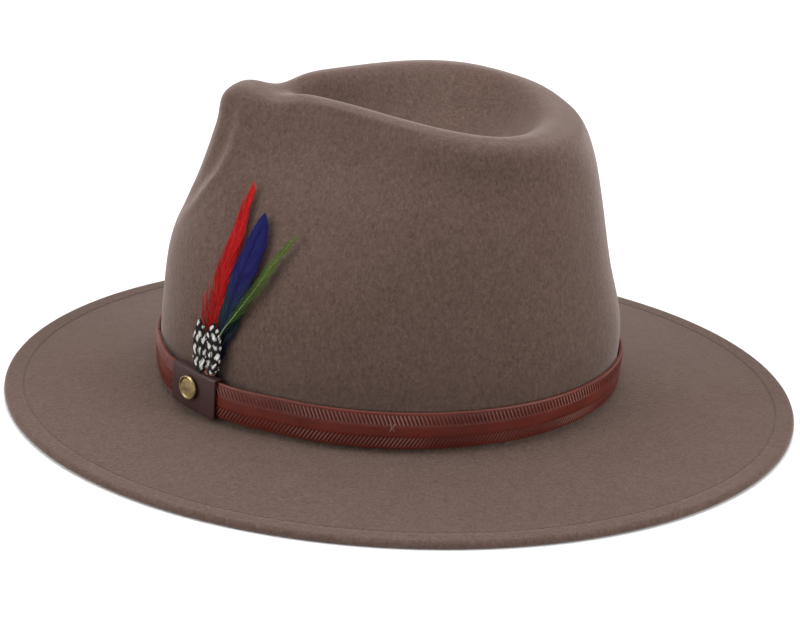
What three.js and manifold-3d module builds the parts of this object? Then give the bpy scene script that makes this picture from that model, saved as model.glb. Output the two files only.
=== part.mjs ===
// A felt fedora, built as the real hat is put together: a blocked felt body with a teardrop dent, front pinch
// and a stitched welt round the brim; a sweatband on a reed and its tape; a satin lining; a leather hatband
// held by a keeper, a riveted badge and tack stitches; and a bound feather mount tucked in behind the band.
// Millimetres, +Z up. The wearer faces -Y and the wearer's left is +X. z = 0 is the plane that the brim edge
// rests on, and the origin is the middle of the hat in that plane.
import * as THREE from 'three';
import { mergeVertices } from 'three/addons/utils/BufferGeometryUtils.js';
import Module from 'manifold-3d';

const wasm = await Module();
wasm.setup();

// ---- Driving dimensions ----
const BRIM_HALF_LENGTH = 179;
const BRIM_HALF_WIDTH = 157.5;
const FELT = 2;
const WELT_WIDTH = 9.6;
const EDGE_THICKNESS = 3.6;
const BRIM_AT_WALL = 12.2;
const CREST_SLOPE = 0.068;
const CREST_BOW = 0.00086;
const CREST_HEIGHT = 145;
// The crest rises to the nose's tip and sinks in the notch behind it.
const CREST_SWELLS = [
  { at: -75, reach: 7, rise: 1.2 },
  { at: -60, reach: 9, rise: -3.9 },
];
const NOSE_BLUNTNESS = 0.5;
const DENT_POLE = 115;
// The break between brim and crown lies lower at the sides than at the front and back, and the wall evens out
// above it.
const SIDE_DROOP = 3;
const DROOP_FADES_AT = 60;

// The crown is a stack of ovals that climbs the wall, turns over the crest and drops into the dent. `front`
// and `back` are how far an oval reaches from the origin, `centre` is where it is widest, `taper` narrows its
// front half and `pinch` hollows its two front sides.
const CROWN = [
  { height: 12.5, halfWidth: 86.4, front: 109.2, back: 96.5, centre: -6, taper: 0, pinch: 0 },
  { height: 42, halfWidth: 85.5, front: 108.5, back: 97.4, centre: -5, taper: 0.02, pinch: 0 },
  { height: 72, halfWidth: 82, front: 105, back: 91, centre: -1, taper: 0.1, pinch: 0.03 },
  { height: 102, halfWidth: 75, front: 92.9, back: 85.5, centre: 8, taper: 0.28, pinch: 0.12 },
  { height: 124, halfWidth: 66, front: 86, back: 80.7, centre: 16.9, taper: 0.54, pinch: 0.25 },
  { height: 138, halfWidth: 63.4, front: 82.7, back: 75.2, centre: 25, taper: 0.97, pinch: 0.2 },
  { height: 142, halfWidth: 57, front: 69.2, back: 69, centre: 24.5, taper: 1, pinch: 0.04 },
  { height: 140.6, halfWidth: 46, front: 54, back: 56.5, centre: 26, taper: 0.93, pinch: 0.04 },
  { height: 126.5, halfWidth: 28, front: 40, back: 43, centre: 30, taper: 0.8, pinch: 0 },
  { height: 117, halfWidth: 9, front: 14, back: 30, centre: 24, taper: 0.4, pinch: 0 },
];
const TOP_OF_WALL = 4;
// The levels that the lining's side shares with the felt behind it.
const LINING_LEVELS = [1, 1.5, 2, 2.5, 3];
const DENT_LEVEL = CROWN.length - 1;

const GAP = 0.3;
const BAND_BOTTOM = 14.2;
const BAND_HEIGHT = 15.4;
const BAND_THICKNESS = 1.8;
const BAND_STAND_OFF = 0.4;
const BAND_BUTT_GAP = 1.5;
const BAND_MIDDLE = BAND_BOTTOM + BAND_HEIGHT / 2;

const KEEPER_ANGLE = THREE.MathUtils.degToRad(-50.6);
const KEEPER_LENGTH = 27;
const KEEPER_FRONT = 1.1;
const KEEPER_BACK = 0.5;
const KEEPER_EDGE = 1;
const TAB_THICKNESS = 0.7;
const RIVET_FLANGE = 0.4;
// From the felt outwards behind the keeper: tab, keeper back, rivet flange, band, keeper front.
const KEEPER_BACK_AT = GAP + TAB_THICKNESS + GAP;
const FLANGE_AT = KEEPER_BACK_AT + KEEPER_BACK + GAP;
const BAND_AT_KEEPER = FLANGE_AT + RIVET_FLANGE + GAP;
const KEEPER_FRONT_AT = BAND_AT_KEEPER + BAND_THICKNESS + GAP;
// The band bulges outwards over the keeper's back, and is back on the felt this far from the keeper's middle.
const BULGE_FULL = 17;
const BULGE_END = 45;

const BADGE_ARC = -1.2;
const BADGE_HEIGHT = 23.1;
const BADGE_RADIUS = 5.4;
const RIVET_RADIUS = 1.2;
const RIVET_HOLE_RADIUS = 1.5;

const SWEATBAND_TOP = 50;

const COLUMNS = 60;

// ---- Colours ----
const felt = { color: 0x6b5d53, roughness: 0.95, metalness: 0 };
const thread = { color: 0x4a3f38, roughness: 0.8, metalness: 0 };
const bandLeather = { color: 0x6e2f22, roughness: 0.45, metalness: 0 };
const keeperLeather = { color: 0x3f2624, roughness: 0.4, metalness: 0 };
const brass = { color: 0x9c8450, roughness: 0.35, metalness: 0.9 };
const sweatLeather = { color: 0x4d3626, roughness: 0.55, metalness: 0 };
const tapeCloth = { color: 0x2f2a27, roughness: 0.85, metalness: 0 };
const reedPlastic = { color: 0xd9d4c8, roughness: 0.5, metalness: 0 };
const satin = { color: 0x7d6a58, roughness: 0.35, metalness: 0 };
const ribbon = { color: 0x3a302a, roughness: 0.5, metalness: 0 };
const backing = { color: 0x2b2320, roughness: 0.8, metalness: 0 };
const feather = (color) => ({ color, roughness: 0.6, metalness: 0 });

// ---- The crown's surface ----
// Catmull-Rom blend of the ovals' measures: `level` 0 is the first oval and DENT_LEVEL the last.
function ovalAt(level) {
  const last = CROWN.length - 1;
  const index = Math.min(Math.floor(level), last - 1);
  const t = level - index;
  const blended = {};
  for (const key of Object.keys(CROWN[0])) {
    const value = (i) => CROWN[i][key];
    const here = value(index);
    const next = value(index + 1);
    const before = index > 0 ? value(index - 1) : 2 * here - next;
    const after = index + 2 <= last ? value(index + 2) : 2 * next - here;
    const bend = -before + 3 * here - 3 * next + after;
    const pull = 2 * before - 5 * here + 4 * next - after;
    blended[key] = 0.5 * (2 * here + (next - before) * t + pull * t ** 2 + bend * t ** 3);
  }
  return blended;
}

function sideDroop(angle) {
  return SIDE_DROOP * Math.cos(angle) ** 2;
}

// How far the crest dips at a place along the hat: gently towards the back and at its two ends.
function crestDip(y) {
  let dip = CREST_SLOPE * y + CREST_BOW * y ** 2;
  for (const { at, reach, rise } of CREST_SWELLS) {
    dip -= rise * Math.exp(-(((y - at) / reach) ** 2));
  }
  return dip;
}

// A point of the outer skin. The tapered front half still ends in a rounded nose.
function crownPoint(angle, level) {
  const { height, halfWidth, front, back, centre, taper, pinch } = ovalAt(level);
  const s = Math.sin(angle);
  const c = Math.cos(angle);
  const ahead = s < 0;
  const y = centre + s * (ahead ? front + centre : back - centre);
  const tapering = 1 - taper * (s ** 2 - NOSE_BLUNTNESS * s ** 4);
  const narrowing = ahead ? tapering * (1 - pinch * (2 * s * c) ** 2) : 1;
  const dip = (height / CREST_HEIGHT) ** 3 * crestDip(y);
  const droop = sideDroop(angle) * (1 - THREE.MathUtils.smoothstep(height, 0, DROOP_FADES_AT));
  return new THREE.Vector3(halfWidth * c * narrowing, y, height - dip - droop);
}

function crownNormal(angle, level) {
  const step = 1e-3;
  const low = Math.max(level - step, 0);
  const high = Math.min(level + step, DENT_LEVEL);
  const round = crownPoint(angle + step, level).sub(crownPoint(angle - step, level));
  const climb = crownPoint(angle, high).sub(crownPoint(angle, low));
  return round.cross(climb).normalize();
}

function skinPoint(angle, level, offset) {
  return crownPoint(angle, level).addScaledVector(crownNormal(angle, level), offset);
}

// The level of the wall at a given height, found by halving.
function levelOf(height) {
  let low = 0;
  let high = TOP_OF_WALL;
  for (let i = 0; i < 30; i += 1) {
    const middle = (low + high) / 2;
    if (ovalAt(middle).height < height) {
      low = middle;
    } else {
      high = middle;
    }
  }
  return low;
}

// A point beside the wall at a height, which may lie below the wall's foot.
function wallPoint(angle, height, offset) {
  const foot = CROWN[0].height;
  const point = skinPoint(angle, levelOf(Math.max(height, foot)), offset);
  point.z += Math.min(height - foot, 0);
  return point;
}

// ---- Distance along the band ----
const ARC_STEPS = 1440;
const arcTable = [0];
for (let i = 1; i <= ARC_STEPS; i += 1) {
  const angle = (k) => KEEPER_ANGLE + (k / ARC_STEPS) * 2 * Math.PI;
  const piece = wallPoint(angle(i), BAND_MIDDLE, 0).distanceTo(wallPoint(angle(i - 1), BAND_MIDDLE, 0));
  arcTable.push(arcTable[i - 1] + piece);
}
const ROUND_THE_WALL = arcTable[ARC_STEPS];

// The angle that lies `arc` millimetres along the wall from the keeper's middle, anticlockwise from above.
function angleAt(arc) {
  const wrapped = THREE.MathUtils.euclideanModulo(arc, ROUND_THE_WALL);
  const next = Math.max(arcTable.findIndex((length) => length >= wrapped), 1);
  const share = (wrapped - arcTable[next - 1]) / (arcTable[next] - arcTable[next - 1]);
  return KEEPER_ANGLE + ((next - 1 + share) / ARC_STEPS) * 2 * Math.PI;
}

// The distance along the wall at which an angle lies.
function arcAt(angle) {
  const turned = THREE.MathUtils.euclideanModulo(angle - KEEPER_ANGLE, 2 * Math.PI);
  return arcTable[Math.round((turned / (2 * Math.PI)) * ARC_STEPS)];
}

// How far the band's back stands off the wall: further out where the keeper and the tab lie behind it.
function bandStandOff(arc) {
  const wrapped = THREE.MathUtils.euclideanModulo(arc, ROUND_THE_WALL);
  const away = Math.min(wrapped, ROUND_THE_WALL - wrapped);
  const near = 1 - THREE.MathUtils.smoothstep(away, BULGE_FULL, BULGE_END);
  return BAND_STAND_OFF + (BAND_AT_KEEPER - BAND_STAND_OFF) * near;
}

// ---- Solids ----
const hat = new THREE.Group();
hat.name = 'fedora';

function add(name, geometry, finish, parent = hat) {
  const mesh = new THREE.Mesh(geometry, new THREE.MeshStandardMaterial(finish));
  mesh.name = name;
  parent.add(mesh);
  return mesh;
}

function positionsOnly(geometry) {
  geometry.deleteAttribute('normal');
  geometry.deleteAttribute('uv');
  return mergeVertices(geometry, 1e-4);
}

// A closed skin through rings of equally many points. A ring of one point is a pole, and `looped` joins the
// last ring to the first. The cross product of round the ring and ring to ring points outwards.
function ringSolid(rings, looped) {
  const points = [];
  const starts = rings.map((ring) => {
    const start = points.length / 3;
    ring.forEach((p) => points.push(p.x, p.y, p.z));
    return start;
  });
  const triangles = [];
  const pairs = looped ? rings.length : rings.length - 1;
  for (let r = 0; r < pairs; r += 1) {
    const next = (r + 1) % rings.length;
    const count = Math.max(rings[r].length, rings[next].length);
    for (let k = 0; k < count; k += 1) {
      const after = (k + 1) % count;
      const a = starts[r] + (rings[r].length > 1 ? k : 0);
      const b = starts[r] + (rings[r].length > 1 ? after : 0);
      const c = starts[next] + (rings[next].length > 1 ? after : 0);
      const d = starts[next] + (rings[next].length > 1 ? k : 0);
      if (a !== b) {
        triangles.push(a, b, c);
      }
      if (c !== d) {
        triangles.push(a, c, d);
      }
    }
  }
  const geometry = new THREE.BufferGeometry();
  geometry.setAttribute('position', new THREE.Float32BufferAttribute(points, 3));
  geometry.setIndex(triangles);
  return geometry;
}

function ringOf(pointAt) {
  return Array.from({ length: COLUMNS }, (_, k) => pointAt((k / COLUMNS) * 2 * Math.PI));
}

// A hoop inside or outside the wall from a section of [offset, height] corners, listed anticlockwise with the
// offset to the right and the height upwards.
function wallHoop(section) {
  const rings = section.map(([offset, height]) => ringOf((a) => wallPoint(a, height, offset)));
  return ringSolid(rings, true);
}

function roundSection(offset, height, radius, corners) {
  return Array.from({ length: corners }, (_, k) => {
    const turn = (k / corners) * 2 * Math.PI;
    return [offset + radius * Math.cos(turn), height + radius * Math.sin(turn)];
  });
}

// Bends a solid drawn flat (x along the band, y height, z outwards) onto the wall.
function wrapOnWall(geometry, standOff = () => 0) {
  const wrapped = positionsOnly(geometry);
  const position = wrapped.attributes.position;
  for (let i = 0; i < position.count; i += 1) {
    const arc = position.getX(i);
    const point = wallPoint(angleAt(arc), position.getY(i), position.getZ(i) + standOff(arc));
    position.setXYZ(i, point.x, point.y, point.z);
  }
  return wrapped;
}

// An outline of (outwards, height) run along the band from arc `from` for `length`.
function alongBand(outline, from, length, steps) {
  const geometry = new THREE.ExtrudeGeometry(outline, { depth: length, steps, bevelEnabled: false });
  geometry.rotateY(-Math.PI / 2);
  geometry.translate(from + length, 0, 0);
  return geometry;
}

function outlineOf(corners) {
  return new THREE.Shape(corners.map(([x, y]) => new THREE.Vector2(x, y)));
}

function toManifold(geometry) {
  const merged = positionsOnly(geometry.clone());
  const mesh = new wasm.Mesh({
    numProp: 3,
    vertProperties: Float32Array.from(merged.attributes.position.array),
    triVerts: Uint32Array.from(merged.index.array),
  });
  return new wasm.Manifold(mesh);
}

function cutAway(geometry, cutters) {
  const solid = cutters.reduce((left, cutter) => left.subtract(toManifold(cutter)), toManifold(geometry));
  const { vertProperties, triVerts } = solid.getMesh();
  const result = new THREE.BufferGeometry();
  result.setAttribute('position', new THREE.BufferAttribute(vertProperties, 3));
  result.setIndex(new THREE.BufferAttribute(triVerts, 1));
  return result;
}

// ---- The felt body ----
function brimEdge(angle) {
  return new THREE.Vector3(BRIM_HALF_WIDTH * Math.cos(angle), BRIM_HALF_LENGTH * Math.sin(angle), 0);
}

// A point of the brim at a distance in from its edge, or out from the crown's wall where `inset` is negative.
function brimPoint(angle, inset, z) {
  const edge = brimEdge(angle);
  const wall = crownPoint(angle, 0).setZ(0);
  const width = edge.distanceTo(wall);
  const fromEdge = inset >= 0 ? inset : width + inset;
  const point = edge.lerp(wall, fromEdge / width);
  const rise = Math.max(fromEdge - WELT_WIDTH, 0) / (width - WELT_WIDTH);
  return point.setZ(z + (BRIM_AT_WALL - EDGE_THICKNESS - sideDroop(angle)) * rise ** 1.1);
}

const STITCH_INSET = 8.6;
const GROOVE_HALF_WIDTH = 0.65;
const GROOVE_DEPTH = 0.7;

function feltBody() {
  const onBrim = (inset, z) => ringOf((a) => brimPoint(a, inset, z));
  const onCrown = (level, offset) => ringOf((a) => skinPoint(a, level, offset));
  const top = EDGE_THICKNESS;
  const under = EDGE_THICKNESS - FELT;
  const groove = [STITCH_INSET - GROOVE_HALF_WIDTH, STITCH_INSET + GROOVE_HALF_WIDTH];
  const pole = ovalAt(DENT_LEVEL).centre;
  const innerLevels = [9, 8, 7.3, 6.6, 6, 5.4, 4.8, 4.4, 4, 3.5, ...LINING_LEVELS.toReversed(), 0.5];
  const outerLevels = [0, 0.5, 1, 1.5, 2, 2.5, 3, 3.5, 4, 4.4, 4.8, 5.2, 5.6, 6, 6.4, 6.8, 7.3, 8, 9];
  return ringSolid([
    [new THREE.Vector3(0, pole, DENT_POLE - FELT)],
    ...innerLevels.map((level) => onCrown(level, -FELT)),
    // The head opening's inner corner, then the underside of the brim out to the turned-under welt.
    onCrown(0.05, -FELT),
    onBrim(-0.6, under - 0.3),
    onBrim(-6, under),
    onBrim(40, under),
    onBrim(WELT_WIDTH + 1, under),
    onBrim(WELT_WIDTH, 0),
    onBrim(1.4, 0),
    onBrim(0.35, 0.8),
    onBrim(0, EDGE_THICKNESS / 2),
    onBrim(0.35, top - 0.8),
    onBrim(1.4, top),
    // The groove that the stitches lie in, then the upper face of the brim up to the wall.
    onBrim(groove[0], top),
    onBrim(groove[0], top - GROOVE_DEPTH),
    onBrim(groove[1], top - GROOVE_DEPTH),
    onBrim(groove[1], top),
    onBrim(35, top),
    onBrim(-12, top),
    onBrim(-3, top),
    ...outerLevels.map((level) => onCrown(level, 0)),
    [new THREE.Vector3(0, pole, DENT_POLE)],
  ], false);
}
add('felt_body', feltBody(), felt);

function brimStitching() {
  const radius = 0.35;
  const height = EDGE_THICKNESS - GROOVE_DEPTH + GAP + radius;
  const section = roundSection(0, height, radius, 4);
  return ringSolid(section.map(([offset, z]) => ringOf((a) => brimPoint(a, STITCH_INSET - offset, z))), true);
}
add('brim_stitching', brimStitching(), thread);

// ---- Inside the head opening ----
const TAPE_OUTER = -FELT - GAP;
const TAPE_THICKNESS = 0.4;
const LINING_OUTER = -FELT - GAP - 0.15;
const LINING_THICKNESS = 0.5;
const liningInner = LINING_OUTER - LINING_THICKNESS;
const SWEATBAND_OUTER = liningInner - GAP - 0.05;
const SWEATBAND_THICKNESS = 1;
const REED_RADIUS = 0.8;
const REED_OFFSET = SWEATBAND_OUTER - SWEATBAND_THICKNESS / 2;
const REED_HEIGHT = 10.7;
const TAPE_TOP = 22;
const TAPE_HEM_TOP = 14;
const SWEATBAND_BOTTOM = REED_HEIGHT + REED_RADIUS + GAP;

// A strip folded up round the reed: a long leg against the felt and a short one against the leather.
const tapeInner = REED_OFFSET - REED_RADIUS - 2 * GAP;
const tapeBottom = REED_HEIGHT - REED_RADIUS - GAP - TAPE_THICKNESS;
add('reed_tape', wallHoop([
  [TAPE_OUTER, tapeBottom],
  [TAPE_OUTER, TAPE_TOP],
  [TAPE_OUTER - TAPE_THICKNESS, TAPE_TOP],
  [TAPE_OUTER - TAPE_THICKNESS, tapeBottom + TAPE_THICKNESS],
  [tapeInner, tapeBottom + TAPE_THICKNESS],
  [tapeInner, TAPE_HEM_TOP],
  [tapeInner - TAPE_THICKNESS, TAPE_HEM_TOP],
  [tapeInner - TAPE_THICKNESS, tapeBottom],
]), tapeCloth);
add('reed', wallHoop(roundSection(REED_OFFSET, REED_HEIGHT, REED_RADIUS, 6)), reedPlastic);

const sweatbandInner = SWEATBAND_OUTER - SWEATBAND_THICKNESS;
const sweatbandHeights = [SWEATBAND_BOTTOM, ovalAt(0.5).height, ovalAt(1).height, SWEATBAND_TOP];
add('sweatband', wallHoop([
  ...sweatbandHeights.map((height) => [SWEATBAND_OUTER, height]),
  ...sweatbandHeights.toReversed().map((height) => [sweatbandInner, height]),
]), sweatLeather);

// A flat ribbon bow at the back marks the rear of the sweatband.
const BOW_HEIGHT = 24;
const BOW_THICKNESS = 0.8;
function bow() {
  const half = [[0, -1.3], [2, -1.6], [9, -3.6], [9, 3.6], [2, 1.6], [0, 1.3]];
  const outline = outlineOf([...half, ...half.slice(1, -1).map(([x, y]) => [-x, -y])]);
  const geometry = new THREE.ExtrudeGeometry(outline, { depth: BOW_THICKNESS, bevelEnabled: false });
  geometry.translate(arcAt(Math.PI / 2), BOW_HEIGHT, sweatbandInner - GAP - BOW_THICKNESS);
  return wrapOnWall(geometry);
}
add('sweatband_bow', bow(), ribbon);

// The lining: a side piece round the wall and an oval tip that sags a little under the dent.
const liningHeights = LINING_LEVELS.map((level) => ovalAt(level).height);
const liningTop = liningHeights.at(-1);
add('lining_side', wallHoop([
  ...liningHeights.map((height) => [LINING_OUTER, height]),
  ...liningHeights.toReversed().map((height) => [liningInner, height]),
]), satin);

const TIP_INSET = liningInner - 3 * GAP;
const TIP_HEIGHT = liningTop + 1.2;
const TIP_SAG = 4;
const TIP_SAG_HALFWAY = 0.6;
function liningTip() {
  const raised = (point) => point.clone().setZ(point.z + LINING_THICKNESS);
  const middle = new THREE.Vector3(0, ovalAt(levelOf(TIP_HEIGHT)).centre, TIP_HEIGHT - TIP_SAG);
  const edge = ringOf((a) => wallPoint(a, TIP_HEIGHT, TIP_INSET));
  const halfway = edge.map((point) => point.clone().lerp(middle, 0.5));
  halfway.forEach((point) => point.setZ(point.z - TIP_SAG_HALFWAY));
  return ringSolid([[middle], halfway, edge, edge.map(raised), halfway.map(raised), [raised(middle)]], false);
}
add('lining_tip', liningTip(), satin);

// ---- The hatband ----
const bandTop = BAND_BOTTOM + BAND_HEIGHT;
const bandLength = ROUND_THE_WALL - BAND_BUTT_GAP;
const BAND_BEVEL = 0.5;
const bandOutline = outlineOf([
  [0, BAND_BOTTOM],
  [BAND_THICKNESS - BAND_BEVEL, BAND_BOTTOM],
  [BAND_THICKNESS, BAND_BOTTOM + BAND_BEVEL],
  [BAND_THICKNESS, bandTop - BAND_BEVEL],
  [BAND_THICKNESS - BAND_BEVEL, bandTop],
  [0, bandTop],
]);
const BAND_STEPS = 96;
const bandBlank = wrapOnWall(alongBand(bandOutline, BAND_BUTT_GAP / 2, bandLength, BAND_STEPS), bandStandOff);

// Short upright stitches tack the band to the felt, each sunk in a notch in the leather.
const TACK_DEGREES = { left: 1.7, back: 90, right: 180, front: 264 };
const TACK_LENGTH = 3.2;
const TACK_WIDTH = 0.8;
const TACK_STANDS_OUT = 0.2;
const NOTCH_DEPTH = 0.8;
const notchFloor = BAND_THICKNESS - NOTCH_DEPTH;
function standingBox(degrees, grow, low, high) {
  const arc = arcAt(THREE.MathUtils.degToRad(degrees));
  const box = new THREE.BoxGeometry(TACK_WIDTH + grow, TACK_LENGTH + grow, high - low);
  box.translate(arc, BAND_MIDDLE, (low + high) / 2);
  return wrapOnWall(box, () => bandStandOff(arc));
}
const notches = [];
for (const [side, degrees] of Object.entries(TACK_DEGREES)) {
  const tack = standingBox(degrees, 0, notchFloor + GAP, BAND_THICKNESS + TACK_STANDS_OUT);
  add(`band_tack_${side}`, tack, thread);
  notches.push(standingBox(degrees, 2 * GAP, notchFloor, BAND_THICKNESS + 2));
}

// The keeper: a leather loop round the band, whose back passes between the band and the felt.
const KEEPER_BEVEL = 0.5;
const KEEPER_STEPS = 10;
function keeper() {
  const low = BAND_BOTTOM - GAP;
  const high = bandTop + GAP;
  const face = KEEPER_FRONT_AT + KEEPER_FRONT;
  const outline = outlineOf([
    [KEEPER_BACK_AT, low - KEEPER_EDGE],
    [face - KEEPER_BEVEL, low - KEEPER_EDGE],
    [face, low - KEEPER_EDGE + KEEPER_BEVEL],
    [face, high + KEEPER_EDGE - KEEPER_BEVEL],
    [face - KEEPER_BEVEL, high + KEEPER_EDGE],
    [KEEPER_BACK_AT, high + KEEPER_EDGE],
  ]);
  outline.holes.push(outlineOf([
    [KEEPER_BACK_AT + KEEPER_BACK, low],
    [KEEPER_BACK_AT + KEEPER_BACK, high],
    [KEEPER_FRONT_AT, high],
    [KEEPER_FRONT_AT, low],
  ]));
  return wrapOnWall(alongBand(outline, -KEEPER_LENGTH / 2, KEEPER_LENGTH, KEEPER_STEPS));
}

// The badge's axis stands square to the wall: its own +Y points outwards and y = 0 is the felt.
const badge = new THREE.Group();
const badgeAngle = angleAt(BADGE_ARC);
const badgeAxis = crownNormal(badgeAngle, levelOf(BADGE_HEIGHT));
badge.position.copy(wallPoint(badgeAngle, BADGE_HEIGHT, 0));
badge.quaternion.setFromUnitVectors(new THREE.Vector3(0, 1, 0), badgeAxis);
badge.updateMatrixWorld();
hat.add(badge);

// The hole runs outwards from just behind the band, right through the keeper's front.
const RIVET_HOLE_LENGTH = 10;
const rivetHole = new THREE.CylinderGeometry(RIVET_HOLE_RADIUS, RIVET_HOLE_RADIUS, RIVET_HOLE_LENGTH, 16);
rivetHole.translate(0, FLANGE_AT - GAP / 2 + RIVET_HOLE_LENGTH / 2, 0);
rivetHole.applyMatrix4(badge.matrix);
add('hatband', cutAway(bandBlank, [rivetHole, ...notches]), bandLeather);
add('keeper', cutAway(keeper(), [rivetHole]), keeperLeather);

function turned(profile, segments) {
  return positionsOnly(new THREE.LatheGeometry(profile.map(([r, y]) => new THREE.Vector2(r, y)), segments));
}
const badgeBack = KEEPER_FRONT_AT + KEEPER_FRONT + GAP;
const FLANGE_RADIUS = 3;
add('badge_rivet', turned([
  [0, FLANGE_AT],
  [FLANGE_RADIUS, FLANGE_AT],
  [FLANGE_RADIUS, FLANGE_AT + RIVET_FLANGE],
  [RIVET_RADIUS, FLANGE_AT + RIVET_FLANGE],
  [RIVET_RADIUS, badgeBack - GAP],
  [0, badgeBack - GAP],
], 20), brass, badge);
add('badge', turned([
  [0, badgeBack],
  [BADGE_RADIUS - 0.3, badgeBack],
  [BADGE_RADIUS, badgeBack + 0.4],
  [BADGE_RADIUS, badgeBack + 1.2],
  [BADGE_RADIUS - 0.4, badgeBack + 1.6],
  [BADGE_RADIUS - 1, badgeBack + 1.6],
  [BADGE_RADIUS - 1.3, badgeBack + 1.2],
  [0, badgeBack + 1.4],
], 28), brass, badge);

// ---- The feather mount ----
const TAB_ARC = 6.5;
const TAB_BOTTOM = 16;
const TAB_TOP = 37;
const BINDING_BOTTOM = bandTop + GAP + KEEPER_EDGE + 2 * GAP;
const BINDING_HEIGHT = 3.4;
const FEATHER_THICKNESS = 0.5;
const FEATHER_FOOT = BINDING_BOTTOM + BINDING_HEIGHT + GAP;

const TAB_WIDTH = 11;
const tab = new THREE.BoxGeometry(TAB_WIDTH, TAB_TOP - TAB_BOTTOM, TAB_THICKNESS, 4, 4, 1);
tab.translate(TAB_ARC, (TAB_TOP + TAB_BOTTOM) / 2, GAP + TAB_THICKNESS / 2);
add('feather_tab', wrapOnWall(tab), backing);

const layerAt = (layer) => 2 * GAP + TAB_THICKNESS + layer * (FEATHER_THICKNESS + GAP);
const bindingDepth = layerAt(4) - layerAt(0);
const BINDING_STRAIGHT = 5;
const binding = new THREE.CapsuleGeometry(BINDING_HEIGHT / 2, BINDING_STRAIGHT, 4, 10, 1);
binding.rotateZ(Math.PI / 2);
binding.scale(1, 1, bindingDepth / BINDING_HEIGHT);
binding.translate(TAB_ARC, BINDING_BOTTOM + BINDING_HEIGHT / 2, layerAt(0) + bindingDepth / 2);
add('feather_binding', wrapOnWall(binding), thread);

// A feather lies flat on the wall in its own layer. `spine` is its quill's line in [arc, height], and the
// vane is `width` across where it is widest, `belly` of the way up.
const QUILL_WIDTH = 1.2;
function featherBlade({ spine, width, belly, layer }) {
  const curve = new THREE.SplineCurve(spine.map(([x, y]) => new THREE.Vector2(x, y)));
  const blade = new THREE.BoxGeometry(1, 1, FEATHER_THICKNESS, 2, 12, 1);
  const position = blade.attributes.position;
  for (let i = 0; i < position.count; i += 1) {
    const t = position.getY(i) + 0.5;
    const centre = curve.getPointAt(t);
    const along = curve.getTangentAt(t);
    const fromBelly = t < belly ? (belly - t) / belly : (t - belly) / (1 - belly);
    const swell = Math.cos((Math.PI / 2) * fromBelly);
    const across = position.getX(i) * (QUILL_WIDTH + (width - QUILL_WIDTH) * swell);
    position.setXY(i, centre.x + along.y * across, centre.y - along.x * across);
  }
  blade.translate(0, 0, layerAt(layer) + FEATHER_THICKNESS / 2);
  return wrapOnWall(blade);
}

const FEATHERS = {
  feather_dark_green: {
    spine: [[9, FEATHER_FOOT], [13, 46], [20.5, 64]],
    width: 9,
    belly: 0.4,
    layer: 0,
    color: 0x15302c,
  },
  feather_red: {
    spine: [[6, FEATHER_FOOT], [7, 65], [4.5, 107.5]],
    width: 15,
    belly: 0.3,
    layer: 1,
    color: 0xa8181b,
  },
  feather_blue: {
    spine: [[8, FEATHER_FOOT], [17, 65], [17.5, 98]],
    width: 13,
    belly: 0.65,
    layer: 2,
    color: 0x141a52,
  },
  feather_green: {
    spine: [[8, FEATHER_FOOT], [18, 58], [37, 95]],
    width: 6,
    belly: 0.6,
    layer: 3,
    color: 0x4d6326,
  },
  feather_guinea_rear: {
    spine: [[8, FEATHER_FOOT], [9.5, 42], [10.5, 51]],
    width: 9.5,
    belly: 0.45,
    layer: 4,
    color: 0x1c1a1a,
  },
  feather_guinea_front: {
    spine: [[4, FEATHER_FOOT], [2, 44], [2.5, 54]],
    width: 9.5,
    belly: 0.4,
    layer: 5,
    color: 0x242222,
  },
};
for (const [name, { color, ...shape }] of Object.entries(FEATHERS)) {
  add(name, featherBlade(shape), feather(color));
}

export default hat;
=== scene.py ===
"""Looks for the felt fedora: a finely meshed felt body, hatched leather band, keeper, badge, feathers, sweatband
and lining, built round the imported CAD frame. Shapes are worked out in millimetres and stored in metres."""

from math import atan2, cos, pi, radians, sin, tau

import bmesh
import bpy
import numpy as np
from mathutils import Matrix, Vector


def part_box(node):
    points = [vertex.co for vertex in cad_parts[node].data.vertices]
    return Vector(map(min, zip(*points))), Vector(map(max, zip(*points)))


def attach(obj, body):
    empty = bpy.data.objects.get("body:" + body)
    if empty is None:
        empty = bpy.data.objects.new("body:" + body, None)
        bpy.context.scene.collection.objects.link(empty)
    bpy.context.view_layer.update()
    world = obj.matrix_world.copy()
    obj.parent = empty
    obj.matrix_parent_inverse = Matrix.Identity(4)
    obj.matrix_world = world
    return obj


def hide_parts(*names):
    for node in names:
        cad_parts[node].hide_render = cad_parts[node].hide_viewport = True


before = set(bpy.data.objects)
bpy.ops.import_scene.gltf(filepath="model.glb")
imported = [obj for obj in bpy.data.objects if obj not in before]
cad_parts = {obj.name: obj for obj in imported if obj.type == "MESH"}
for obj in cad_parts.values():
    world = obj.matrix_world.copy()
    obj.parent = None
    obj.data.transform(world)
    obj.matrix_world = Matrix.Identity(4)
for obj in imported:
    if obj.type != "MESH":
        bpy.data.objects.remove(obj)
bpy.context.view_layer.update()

MM = 0.001
# The clearance that the CAD leaves between pieces.
GAP = 0.3
random = np.random.default_rng(58)

# ---- Camera ----
CAMERA_ELEVATION = radians(21.95)
CAMERA_ROLL = radians(2.86)
CAMERA_DISTANCE = 1.1228
CAMERA_TARGET = Vector((0, -0.0015, 0.035))
CAMERA_LENS, SENSOR_WIDTH, NEAREST_SEEN = 111.9, 36, 0.05


def add_object(name, data):
    made = bpy.data.objects.new(name, data)
    bpy.context.scene.collection.objects.link(made)
    return made


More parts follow.
